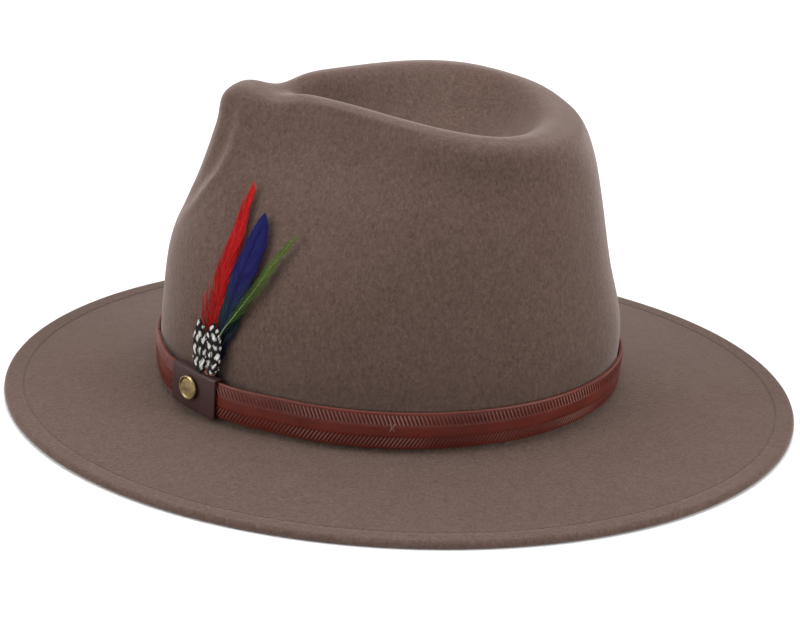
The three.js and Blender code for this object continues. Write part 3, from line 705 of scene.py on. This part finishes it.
def make_keeper():
    outer = rounded_loop(KEEPER_BACK + 0.02, KEEPER_FRONT + KEEPER_WALL,
                         BAND_BOTTOM - KEEPER_OVERLAP, BAND_TOP + KEEPER_OVERLAP, 1.2, 8)
    inner = rounded_loop(KEEPER_BACK + 0.5, KEEPER_FRONT, BAND_BOTTOM - GAP, BAND_TOP + GAP, 0.35, 8)
    half = KEEPER_LENGTH / 2
    # Each station is (place along the band, share of the way from the outer section to the inner one).
    lip = [(half - 0.1, 0.12), (half, 0.4), (half, 0.65), (half - 0.1, 0.9)]
    trip = [(arc, 0.0) for arc in np.linspace(-half + 0.4, half - 0.4, 48)] + lip
    trip += [(arc, 1.0) for arc in np.linspace(half - 0.4, -half + 0.4, 24)]
    trip += [(-arc, share) for arc, share in reversed(lip)]
    stations = []
    for arc, share in trip:
        out, height = (outer * (1 - share) + inner * share).T
        front = ease(out, BAND_AT_KEEPER, KEEPER_FRONT)
        open_by = swells(arc, [KEEPER_DIMPLE])
        for toward_end, (reach, rise) in ((arc, KEEPER_FREE_END), (-arc, KEEPER_OTHER_END)):
            open_by += rise * ease(toward_end, half - reach, half)
        stations.append(np.stack([np.full_like(out, arc), height, out + front * open_by], -1))
    dress(hoop("keeper_fine", wrap(np.array(stations))), KEEPER_LOOK, "keeper")


make_keeper()

# ---- The badge ----
BADGE_BACK = KEEPER_FRONT + KEEPER_WALL + GAP - 0.25
BADGE_SEGMENTS = 96
# The rolled rim as (out from the badge's radius, height), then the field inside it, which is slightly domed.
BADGE_RIM = ((-0.5, 0), (-0.1, 0.2), (0, 0.6), (0, 1.3), (-0.12, 1.65), (-0.4, 1.85), (-0.75, 1.8), (-0.95, 1.55),
             (-1.1, 1.35), (-1.5, 1.32))
FIELD_RADIUS, FIELD_HEIGHT, FIELD_DOME, FIELD_MIDDLE = 4.2, 1.32, 0.16, 1.49
BEADS, BEAD_CIRCLE, BEAD_HEIGHT, BEAD_RADIUS = 20, 3.4, 1.36, 0.24


def badge_point(radius, turn, height):
    """A point of the badge, whose axis stands square to the wall."""
    angle = angle_at(BADGE_ARC)
    foot = wall(angle, BADGE_HEIGHT, 0)
    axis = Vector(wall(angle, BADGE_HEIGHT, 1) - foot)
    side = Vector((0, 0, 1)).cross(axis).normalized()
    across = side * (radius * cos(turn)) + axis.cross(side) * (radius * sin(turn))
    return Vector(foot) + across + axis * (BADGE_BACK + height)


def make_badge():
    """A low disc with a rolled rim round a sunk field."""
    profile = [(BADGE_RADIUS + out, height) for out, height in BADGE_RIM]
    profile += [(r, FIELD_HEIGHT + FIELD_DOME * (1 - (r / FIELD_RADIUS) ** 2)) for r in (3.6, 2.9, 2.2, 1.5, 0.8)]
    rings = np.array([[badge_point(r, turn, h) for turn in round_turn(BADGE_SEGMENTS)] for r, h in profile])
    piece = skin_between_poles("badge_fine", rings, badge_point(0, 0, 0), badge_point(0, 0, FIELD_MIDDLE))
    radii, heights = np.array([*np.repeat(profile, BADGE_SEGMENTS, axis=0), (0, 0), (0, FIELD_MIDDLE)]).T
    # Dirt stays in the corner under the rim and round the outside.
    hollow = np.where((radii > 4.1) & (radii < 4.85) & (heights > 1.2), 1.0, np.where(heights < 1.2, 0.7, 0.25))
    set_attribute(piece, "hollow", hollow)
    dress(piece, BRASS_LOOK, "badge")


def make_badge_beads():
    """A plain ring of beads on the field."""
    beads = bmesh.new()
    for turn in round_turn(BEADS):
        centre = badge_point(BEAD_CIRCLE, turn, BEAD_HEIGHT) * MM
        bmesh.ops.create_icosphere(beads, subdivisions=2, radius=BEAD_RADIUS * MM, matrix=Matrix.Translation(centre))
    dress(smooth_object("badge_beads", bpy.data.meshes.new("badge_beads"), beads), BRASS_LOOK)


make_badge()
make_badge_beads()

# ---- Tack stitches in the band ----
TACK_NODES = ("band_tack_left", "band_tack_back", "band_tack_right", "band_tack_front")
TACK_RADIUS, TACK_HALF_WIDTH, TACK_HALF_HEIGHT = 0.38, 1, 1.5
TACK_STAND_OFF, TACK_END_DEPTH, TACK_CROSSING = 0.15, 0.7, 0.2


def make_tacks():
    """Two crossed threads stand in each notch that the CAD band has."""
    _, half_width, front, _, centre, _, _ = CROWN[0]
    t = np.linspace(-1, 1, 9)
    for node in TACK_NODES:
        low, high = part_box(node)
        middle = (low + high) / 2 / MM
        arc = arc_at(atan2((middle.y - centre) / (front + centre), middle.x / half_width))
        paths = []
        for lean, lift in ((-1, 0), (1, TACK_CROSSING)):
            out = BAND_THICKNESS + TACK_STAND_OFF - TACK_END_DEPTH * t ** 4 + lift
            flat = np.stack([arc + lean * TACK_HALF_WIDTH * t, BAND_MIDDLE + TACK_HALF_HEIGHT * (1 + t), out], -1)
            paths.append(wrap(flat, band_stand_off(arc)))
        dress(tubes(node + "_thread", paths, TACK_RADIUS, 8), TACK_LOOK, node)


make_tacks()

# ---- Feathers ----
TAB_ARC = 6.5
# The height of the feathers' feet, and where the quills are cut off, just above the keeper.
FOOT, QUILL_CUT = 26, 31.2
SPINE_POINTS = 60
LAYER = 1.3
# The lengths tried for a barb.
BARB_LENGTHS = np.linspace(0.4, 40, 200)
BARB_TAPER = ((0, 0.15, 0.5, 0.85, 1), (0.7, 1, 1, 0.7, 0.15))
BARB_THICKNESS = 0.1
# Neighbouring barbs lie in three layers this far apart.
BARB_LAYER = 0.06
LEAN_WANDER, LIFT_WANDER, SHADE_WANDER = 0.08, 0.05, 0.12


def feather_barbs(name, path, tint, seed, span, count, width, spread, droop, reach, lean, reach_left=None,
                  lift=1, bend=0.25, stations=7):
    """One feather's vane, made of many barbs along the quill's path.

    span is where the vane starts and ends up the quill, count the barbs on each side and spread how far their
    lengths wander. reach (the outline: half the vane's width, or its right half where reach_left gives the other)
    and lean (degrees) are stops up the quill.
    """
    draw = np.random.default_rng(seed)
    flat_step = np.gradient(path, axis=0)
    left_to_tip = np.linalg.norm(flat_step, axis=1)[::-1].cumsum()[::-1]
    flat_step = unit(flat_step)
    t = np.linspace(0, 1, stations)
    half_widths = width / 2 * np.interp(t, *BARB_TAPER)[:, None]
    blocks, colours = [], []
    for side, outline in ((-1, reach_left or reach), (1, reach)):
        for k in range(count):
            place = span[0] + (span[1] - span[0]) * (k + draw.uniform(0, 0.8)) / count
            index = min(int(place * (SPINE_POINTS - 1)), SPINE_POINTS - 2)
            share = place * (SPINE_POINTS - 1) - index
            root = path[index] * (1 - share) + path[index + 1] * share
            ahead = flat_step[index]
            across = np.array([ahead[1], -ahead[0], 0]) * side
            steady = radians(np.interp(place, *zip(*lean)))
            # The barb grows until it meets the feather's outline.
            ends = 1 - (left_to_tip[index] - BARB_LENGTHS * cos(steady * (1 - bend))) / left_to_tip[0]
            outside = BARB_LENGTHS * sin(steady * (1 - bend)) > np.interp(ends, *zip(*outline))
            length = BARB_LENGTHS[np.argmax(outside)]
            length *= 1 + spread * draw.uniform(-1.8, 0.25)
            turning = steady * (1 + LEAN_WANDER * draw.normal()) * (1 - bend * t)
            line = root + ahead * (length * np.cos(turning) * t)[:, None]
            line += across * (length * np.sin(turning) * t)[:, None]
            line[:, 2] += lift * (k % 3 - 1) * BARB_LAYER - droop * t ** 2
            line[:, 2] += LIFT_WANDER * draw.normal()
            heading = unit(np.gradient(line, axis=0))
            half = np.stack([heading[:, 1], -heading[:, 0], np.zeros(stations)], -1) * half_widths
            blocks.append(np.stack([line - half, line + half, line + [0, 0, BARB_THICKNESS]], 1))
            shades = tint(line, place) * (1 + SHADE_WANDER * draw.normal())
            colours.append(np.repeat(np.clip(shades, 0, 1), 3, axis=0))
    piece = bars(name, blocks, to_wall=wrap)
    set_tint(piece, np.concatenate(colours))
    return piece


def graded(*stops):
    """A colour that changes up the quill. Each stop is (place, colour)."""
    places, colours = zip(*stops)

    def shade(line, place):
        return np.tile([np.interp(place, places, channel) for channel in zip(*colours)], (len(line), 1))
    return shade


def guinea_spots(across, up, radius, stretch):
    """Black barbs crossed by uneven white spots in staggered rows, each spot stretched along the feather."""
    black, white = np.array([(0.012, 0.01, 0.01), (0.74, 0.72, 0.68)])

    def shade(line, place):
        row = line[:, 1] / up + 0.12 * np.sin(line[:, 0] * 1.9)
        shift = np.where(np.floor(row) % 2 > 0, 0.5, 0.0)
        column = line[:, 0] / across + shift + 0.16 * np.sin(line[:, 1] * 1.3)
        away = np.hypot((row % 1 - 0.5) * up / stretch, (column % 1 - 0.5) * across)
        size = radius * (1 + 0.22 * np.sin(np.floor(row) * 2.7 + np.floor(column) * 4.1))
        share = (1 - ease(away, size - 0.15, size + 0.2))[:, None]
        return black * (1 - share) + white * share
    return shade


def make_feather(node, spine, tint, seed, quill, slot=None, **barbs):
    """A vane and its quill. spine has points (along the band, height, outwards from the layer under the feathers),
    and quill is (radius at the foot, radius at the tip, colour)."""
    slot = slot or node
    path = curve_at([(along, height, LAYER + out) for along, height, out in spine],
                    np.linspace(0, len(spine) - 1, SPINE_POINTS))
    vane = feather_barbs(node + "_vane", path, tint, seed, **barbs)
    dress(vane, FEATHER_LOOK, node, slot=slot, body="feather_mount")
    thick, thin, colour = quill
    path = path[path[:, 1] >= QUILL_CUT]
    shaft = tubes(node + "_quill", [path], np.linspace(thick, thin, len(path)), 8, to_wall=wrap)
    set_tint(shaft, np.tile(colour, (len(shaft.data.vertices), 1)))
    dress(shaft, FEATHER_LOOK, slot=slot, body="feather_mount")


make_feather(
    "feather_dark_green", [(9, FOOT, 0.2), (11.5, 42, 0.2), (15.5, 52, 0.3), (20, 62, 0.4)],
    graded((0.2, (0.008, 0.006, 0.03)), (0.5, (0.008, 0.012, 0.03)), (0.8, (0.008, 0.028, 0.02))),
    3, (0.5, 0.14, (0.02, 0.03, 0.02)),
    span=(0.2, 0.97), count=90, width=0.6, spread=0.06, droop=0.25,
    reach=[(0.2, 2.3), (0.6, 2.9), (0.8, 2.6), (0.93, 1.6), (1.03, 0)],
    lean=[(0.2, 34), (0.8, 28), (1, 12)])
make_feather(
    "feather_red",
    [(6.5, FOOT, 0.9), (6.3, 45, 0.9), (7.4, 62, 1.0), (7.6, 77, 1.0), (5.9, 91, 1.2), (3.9, 106, 1.3)],
    graded((0.14, (0.36, 0.008, 0.007)), (0.6, (0.46, 0.008, 0.009)), (1, (0.53, 0.01, 0.012))),
    11, (0.45, 0.1, (0.4, 0.01, 0.01)),
    span=(0.14, 0.99), count=270, width=0.31, spread=0.36, droop=0.2, lift=2, bend=0.45,
    reach=[(0.14, 4.5), (0.42, 5.6), (0.56, 4.4), (0.72, 3.4), (0.82, 2.4), (0.92, 1.4), (0.985, 1.1),
           (1.02, 0)],
    reach_left=[(0.14, 7), (0.3, 10.5), (0.42, 9.1), (0.56, 6.6), (0.72, 6.3), (0.82, 5.4), (0.92, 4.2),
                (0.985, 2.2), (1.02, 0)],
    lean=[(0.14, 50), (0.3, 40), (0.45, 28), (0.7, 20), (1, 8)])
make_feather(
    "feather_blue",
    [(8, FOOT, 1.7), (10.5, 45, 1.8), (14.6, 60, 1.9), (16.8, 75, 2.0), (17.2, 86, 2.1), (16, 97, 2.1)],
    graded((0.24, (0.01, 0.01, 0.02)), (0.3, (0.008, 0.022, 0.026)), (0.42, (0.008, 0.018, 0.05)),
           (0.52, (0.009, 0.008, 0.085)), (1, (0.006, 0.006, 0.085))),
    17, (0.42, 0.12, (0.008, 0.007, 0.05)),
    span=(0.24, 0.995), count=290, width=0.6, spread=0.02, droop=0.3, bend=0.4,
    reach=[(0.24, 2), (0.45, 4), (0.6, 5), (0.73, 5.4), (0.87, 4.8), (0.93, 3.8), (0.97, 2.7), (0.99, 1.7),
           (1.015, 0)],
    lean=[(0.24, 40), (0.6, 38), (0.8, 34), (0.9, 32), (0.96, 24), (1, 4)])
make_feather(
    "feather_green",
    [(8.5, FOOT, 2.5), (11.5, 47, 2.6), (18.5, 59, 2.6), (25, 70, 2.7), (29.4, 80, 2.7), (35.3, 93, 2.6)],
    graded((0.3, (0.03, 0.08, 0.016)), (1, (0.13, 0.19, 0.03))), 23, (0.28, 0.1, (0.22, 0.28, 0.12)),
    span=(0.3, 0.99), count=90, width=0.22, spread=0.35, droop=0.15, lift=2, bend=0.2,
    reach=[(0.3, 1), (0.5, 2.4), (0.75, 3.1), (0.88, 2.2), (0.96, 1.1), (1.03, 0)],
    lean=[(0.3, 20), (0.8, 18), (1, 12)])
make_feather(
    "feather_guinea_rear", [(8, FOOT, 3.4), (9, 38, 3.4), (8.6, 52, 3.4)],
    guinea_spots(3.7, 3.8, 1.2, 1.0), 31, (0.34, 0.14, (0.05, 0.04, 0.035)), "feather_guinea",
    span=(0.24, 0.99), count=80, width=0.66, spread=0.1, droop=0.5, stations=15,
    reach=[(0.1, 3), (0.4, 4.6), (0.75, 4.4), (0.92, 3), (1.05, 0)],
    lean=[(0.2, 70), (0.34, 46), (0.7, 40), (1, 14)])
make_feather(
    "feather_guinea_front", [(5, FOOT, 4.2), (3, 38, 4.2), (0.9, 51.5, 4.1)],
    guinea_spots(3.3, 5.4, 0.95, 2.0), 37, (0.34, 0.14, (0.05, 0.04, 0.035)), "feather_guinea",
    span=(0.21, 0.99), count=80, width=0.66, spread=0.12, droop=0.6, stations=15,
    reach=[(0.1, 2.8), (0.4, 4.2), (0.75, 4.2), (0.92, 2.8), (1.06, 0)],
    lean=[(0.2, 70), (0.34, 44), (0.7, 36), (1, 14)])

TAB_HALF_WIDTH, TAB_LOW, TAB_HIGH, TAB_CORNER = 5.5, 16, 37, 2.2
TAB_BACK, TAB_FRONT = 0.3, 1.0
# Rings over the tab's edge from back to front (share of its outline, outwards).
TAB_RINGS = ((0.35, TAB_BACK), (0.7, TAB_BACK), (0.97, 0.34), (1, 0.5), (1, 0.8), (0.97, 0.96), (0.7, TAB_FRONT),
             (0.35, TAB_FRONT))
COIL_TURNS, COIL_POINTS, COIL_RADIUS = 7, 28, 0.24
# The thread's coil. Its half length lies along the band.
COIL_ARC, COIL_FOOT, COIL_OUT = 7.2, 31.4, LAYER + 1.6
COIL_HEIGHT, COIL_HALF_LENGTH, COIL_HALF_DEPTH = 3, 3.1, 1.75


def make_tab():
    """The stiff backing that the quills are sewn to."""
    outline = rounded_loop(-TAB_HALF_WIDTH, TAB_HALF_WIDTH, TAB_LOW, TAB_HIGH, TAB_CORNER, 7)
    centre = np.array([0, (TAB_LOW + TAB_HIGH) / 2])
    rows = []
    for share, out in TAB_RINGS:
        ring = centre + (outline - centre) * share
        rows.append(np.stack([ring[:, 0] + TAB_ARC, ring[:, 1], np.full(len(ring), out)], -1))
    poles = wrap(np.array([(TAB_ARC, centre[1], out) for out in (TAB_BACK, TAB_FRONT)]))
    piece = skin_between_poles("feather_tab_fine", wrap(np.array(rows)), *poles)
    dress(piece, BACKING_LOOK, "feather_tab", body="feather_mount")


def make_binding():
    """Turns of thread round the quills."""
    t = np.linspace(0, COIL_TURNS * tau, COIL_TURNS * COIL_POINTS)
    flat = np.stack([COIL_ARC + COIL_HALF_LENGTH * np.cos(t), COIL_FOOT + COIL_HEIGHT * t / t[-1],
                     COIL_OUT + COIL_HALF_DEPTH * np.sin(t)], -1)
    piece = tubes("feather_binding_thread", [flat], COIL_RADIUS, 7, to_wall=wrap)
    dress(piece, TACK_LOOK, "feather_binding", body="feather_mount")


make_tab()
make_binding()

# ---- Inside the head opening ----
INSIDE = round_turn(240)
SWEAT_LOW, SWEAT_TOP = 11.9, 50.0
SWEAT_OUTER, SWEAT_INNER = -3.3, -4.3
# Pressed round the sweatband near its top (place, reach, rise).
SWEAT_CREASE = (SWEAT_TOP - 2.6, 0.35, 0.16)
SWEAT_ROLL = 0.14
SEAM_HEIGHT, SEAM_WANDER = 14.6, 0.25
TAPE_OUTER, TAPE_INNER = -2.35, -5.2
REED_OFFSET, REED_HEIGHT, REED_RADIUS = -3.8, 10.7, 0.8
PLEATS, PLEAT_DEPTH = 46, 0.28
LINING_OUTER, LINING_INNER = -2.45, -2.8
LINING_LEVELS = np.linspace(1, 3, 26)
TIP_EDGE_HEIGHT, TIP_EDGE_OFFSET, TIP_MIDDLE_HEIGHT = 103.2, -3.85, 99.3
TIP_THICKNESS, TIP_SAG, TIP_PUCKER = 0.35, 2.4, 0.22
PIPING_OFFSET, PIPING_RADIUS, PIPING_DROP = -4.4, 0.75, 1.2
BOW_HEIGHT, RIBBON_THICKNESS = 24, 0.18
# The knot's rings as (up from its middle, half width, half depth).
KNOT_RINGS = ((-1.7, 0.9, 0.3), (-1.5, 1.25, 0.7), (-0.7, 1.45, 1), (0.7, 1.45, 1), (1.5, 1.25, 0.7),
              (1.7, 0.9, 0.3))


def wall_hoop(name, section):
    return hoop(name, [wall(INSIDE, height, offset) for offset, height in section])


def make_sweatband():
    low, top, outer, inner = SWEAT_LOW, SWEAT_TOP, SWEAT_OUTER, SWEAT_INNER
    section = [(outer, h) for h in np.linspace(low + 0.3, top - 0.4, 14)]
    section += [(outer - 0.2, top - 0.08), (outer - 0.5, top), (outer - 0.8, top - 0.08), (inner, top - 0.4)]
    for height in np.linspace(top - 1.2, low + 0.4, 22):
        roll = SWEAT_ROLL * ease(height, top - 14, top)
        section.append((inner + swells(height, [SWEAT_CREASE]) - roll, height))
    section += [(inner + 0.2, low + 0.05), (outer - 0.2, low)]
    dress(wall_hoop("sweatband_fine", section), SWEAT_LOOK, "sweatband")


def make_sweatband_stitches():
    def place(angles, lifts):
        seam = SEAM_HEIGHT + SEAM_WANDER * np.sin(angles / tau * 40)
        return wall(angles, seam, SWEAT_INNER - lifts)
    dress(stitches("sweatband_stitches", place, *SWEAT_STITCHES), THREAD_LOOK)


def make_tape_and_reed():
    """The tape is folded round the reed: up behind the sweatband and up over its face."""
    outer, inner = TAPE_OUTER, TAPE_INNER
    section = [(outer, h) for h in (9.5, 14, 18, 21.8)] + [(outer - 0.2, 22)]
    section += [(outer - 0.4, h) for h in (21.8, 18, 14, 9.7)] + [(-3.0, 9.62), (-3.8, 9.6), (-4.6, 9.62)]
    section += [(inner, h) for h in (9.75, 11, 12.4, 13.8)] + [(inner - 0.2, 14.0)]
    section += [(inner - 0.4, h) for h in (13.8, 12.2, 10.6, 9.6)]
    section += [(-5.2, 9.25), (-4.2, 9.2), (-3.2, 9.2), (-2.6, 9.25)]
    dress(wall_hoop("reed_tape_fine", section), TAPE_LOOK, "reed_tape")
    reed = wall_hoop("reed_fine", [(REED_OFFSET + REED_RADIUS * cos(turn),
                                    REED_HEIGHT + REED_RADIUS * sin(turn)) for turn in round_turn(12)])
    dress(reed, REED_LOOK, "reed")


def make_lining():
    pleats = PLEAT_DEPTH * (0.5 + 0.5 * np.sin(INSIDE * PLEATS + 0.7 * np.sin(INSIDE * 5)))
    trip = [(level, LINING_OUTER) for level in LINING_LEVELS]
    trip += [(level, LINING_INNER) for level in LINING_LEVELS[::-1]]
    side = hoop("lining_side_satin", [
        skin(INSIDE, level, offset - pleats * ease(level, 1.2, 3)) for level, offset in trip])
    dress(side, SATIN_LOOK, "lining_side")

    top_level = np.interp(TIP_EDGE_HEIGHT, WALL_HEIGHTS, WALL_LEVELS)
    edge = skin(INSIDE, top_level, TIP_EDGE_OFFSET)
    centre = np.array([0, curve_at(CROWN, top_level)[4], TIP_MIDDLE_HEIGHT])
    puckers = TIP_PUCKER * np.sin(INSIDE * PLEATS)
    shares = (0.12, 0.25, 0.4, 0.55, 0.7, 0.82, 0.9, 0.96, 1.0)

    def sheet_row(share, lift):
        ring = centre + (edge - centre) * share
        ring[:, 2] += lift - TIP_SAG * share * (1 - share) + puckers * ease(share, 0.75, 1)
        return ring
    rows = [sheet_row(share, 0) for share in shares] + [sheet_row(share, TIP_THICKNESS) for share in shares[::-1]]
    tip = skin_between_poles("lining_tip_satin", np.array(rows), centre, centre + [0, 0, TIP_THICKNESS])
    dress(tip, SATIN_LOOK, "lining_tip")

    cord = [skin(INSIDE, top_level - 0.04, PIPING_OFFSET + PIPING_RADIUS * cos(turn))
            + [0, 0, PIPING_RADIUS * sin(turn) - PIPING_DROP] for turn in round_turn(10)]
    dress(hoop("lining_piping", cord), SATIN_LOOK)
    return side, tip


def ribbon(arc, height, out, half):
    """A flat strip of ribbon along a line of points, from its half width at each."""
    corners = [(height + side * half, out - depth) for side, depth in (
        (-1, 0), (1, 0), (1, RIBBON_THICKNESS), (-1, RIBBON_THICKNESS))]
    return np.stack([np.stack([arc, h, o], -1) for h, o in corners], 1)


def make_bow():
    """A flat ribbon bow: two loops and two tails held by a knot."""
    back_arc = arc_at(pi / 2)
    base = SWEAT_INNER - GAP
    t, tail = np.linspace(0, 1, 21), np.linspace(0, 1, 9)
    arch, returning = np.sin(np.pi * t), t > 0.5
    strips = []
    for sign in (-1, 1):
        out = base - 0.35 - arch * returning - 0.25 * returning
        strips.append(ribbon(back_arc + sign * (1 + 8.2 * arch ** 0.8), np.full_like(t, BOW_HEIGHT), out,
                             1.6 + 1.9 * arch))
        strips.append(ribbon(back_arc + sign * (0.8 + 6.4 * tail), BOW_HEIGHT - 5 * tail, base - 0.2 - 0.1 * tail,
                             1.4 + tail))
    dress(bars("sweatband_bow_ribbon", strips, to_wall=wrap), RIBBON_LOOK, "sweatband_bow")
    turn = round_turn(14)
    knot = np.array([np.stack([back_arc + width * np.cos(turn), np.full_like(turn, BOW_HEIGHT + up),
                               base - 0.9 + depth * np.sin(turn)], -1) for up, width, depth in KNOT_RINGS])
    dress(bars("sweatband_bow_knot", [wrap(knot)]), RIBBON_LOOK)


make_sweatband()
make_sweatband_stitches()
make_tape_and_reed()
lining_side, lining_tip = make_lining()
make_bow()

# The one CAD node that stays: the rivet behind the badge.
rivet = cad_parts["badge_rivet"]
rivet.data.materials.clear()
rivet.data.materials.append(BRASS_LOOK.material)


# ---- Floor and light ----
FLOOR_HALF_SIZE = 6.0
WORLD_STRENGTH = 0.27
LIGHTS_AIM = (0, 0, 0.06)
# Each soft box: name, place, side and power.
SOFT_BOXES = (("front_side", (0.5, -1.5, 0.9), 1.2, 21), ("back_side", (0.6, 1.5, 0.9), 1.2, 21),
              ("overhead", (-0.2, 0, 1.3), 1.1, 18))


def make_floor():
    mesh = bpy.data.meshes.new("floor")
    far = FLOOR_HALF_SIZE
    mesh.from_pydata([(-far, -far, 0), (far, -far, 0), (far, far, 0), (-far, far, 0)], [], [(0, 1, 2, 3)])
    paper = Surface("floor_paper", 0.9, Specular_IOR_Level=0.1)
    mesh.materials.append(paper.finish(paper.ramp(paper.noise(3, 2), (0.3, 0.88), (0.7, 0.9))).material)
    add_object("floor", mesh)


def make_light():
    world = bpy.data.worlds.new("studio")
    world.use_nodes = True
    background = world.node_tree.nodes["Background"]
    background.inputs["Color"].default_value = (1, 1, 1, 1)
    background.inputs["Strength"].default_value = WORLD_STRENGTH
    bpy.context.scene.world = world
    for name, place, side, power in SOFT_BOXES:
        data = bpy.data.lights.new(name, "AREA")
        data.shape = "RECTANGLE"
        data.size = data.size_y = side
        data.energy = power
        light = add_object(name, data)
        light.location = place
        light.rotation_mode = "QUATERNION"
        light.rotation_quaternion = (Vector(LIGHTS_AIM) - Vector(place)).to_track_quat("-Z", "Y")
    bpy.context.scene.view_settings.view_transform = "Standard"


make_floor()
make_light()
